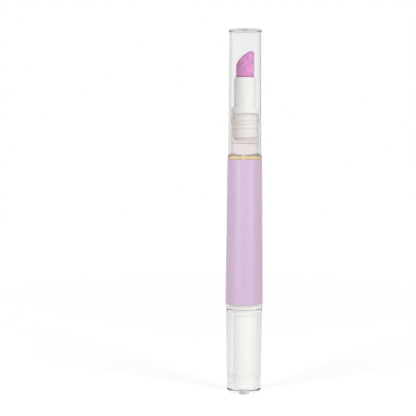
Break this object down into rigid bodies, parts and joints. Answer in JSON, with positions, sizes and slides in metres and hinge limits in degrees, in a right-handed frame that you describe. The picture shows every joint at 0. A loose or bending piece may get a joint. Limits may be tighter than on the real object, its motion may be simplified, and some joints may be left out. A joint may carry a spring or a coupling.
{
  "type": "nail oil pen",
  "caption": "Twist pen for nail oil: clear pull-off cap over a slanted pusher tip, labelled clear barrel, and a clear knob whose screw drives a piston.",
  "frame": {"origin": "middle of the flat foot of the knob, on the pen's axis", "axes": "+Z along the pen from the knob to the cap; the label's seam is towards +Y, at the back"},
  "size_m": [0.0122, 0.0122, 0.1191],
  "materials": {
    "cap": "clear, polished",
    "barrel": "clear, polished",
    "knob_shell": "clear, polished",
    "end_plug": "clear, polished",
    "ferrule": "white, moulded",
    "nozzle_plug": "white, moulded",
    "drive_core": "white, moulded",
    "drive_nut": "white, moulded",
    "click_ring": "white, moulded",
    "screw_rod": "white, moulded",
    "piston": "white, moulded",
    "feed_tube": "white, moulded",
    "pusher_tip": "pink, fine grain",
    "label": "lavender satin film",
    "oil_fill": "clear golden oil"
  },
  "bodies": {
    "barrel": {"barrel": "barrel", "label": "label", "oil_fill": "oil_fill", "drive_nut": "drive_nut", "nozzle_plug": "nozzle_plug", "ferrule": "ferrule", "feed_tube": "feed_tube", "pusher_tip": "pusher_tip"},
    "cap": {"cap": "cap"},
    "knob": {"knob_shell": "knob_shell", "end_plug": "end_plug", "drive_core": "drive_core", "click_ring": "click_ring"},
    "rod": {"screw_rod": "screw_rod"},
    "piston": {"piston": "piston"}
  },
  "joints": [
    {"name": "cap_pull", "type": "slide", "parent": "barrel", "child": "cap", "axis": [0, 0, 1], "range_m": [0, 0.045]},
    {"name": "knob_twist", "type": "hinge", "parent": "barrel", "child": "knob", "pos_m": [0, 0, 0], "axis": [0, 0, 1], "range_deg": [0, 3240]},
    {"name": "rod_advance", "type": "slide", "parent": "knob", "child": "rod", "axis": [0, 0, 1], "range_m": [0, 0.0226]},
    {"name": "piston_advance", "type": "slide", "parent": "barrel", "child": "piston", "axis": [0, 0, 1], "range_m": [0, 0.0226], "deforming": ["oil_fill"]}
  ],
  "couplings": [
    {"joint": "rod_advance", "follows": "knob_twist", "m_per_rad": 0.00039789},
    {"joint": "piston_advance", "follows": "knob_twist", "m_per_rad": 0.00039789}
  ]
}
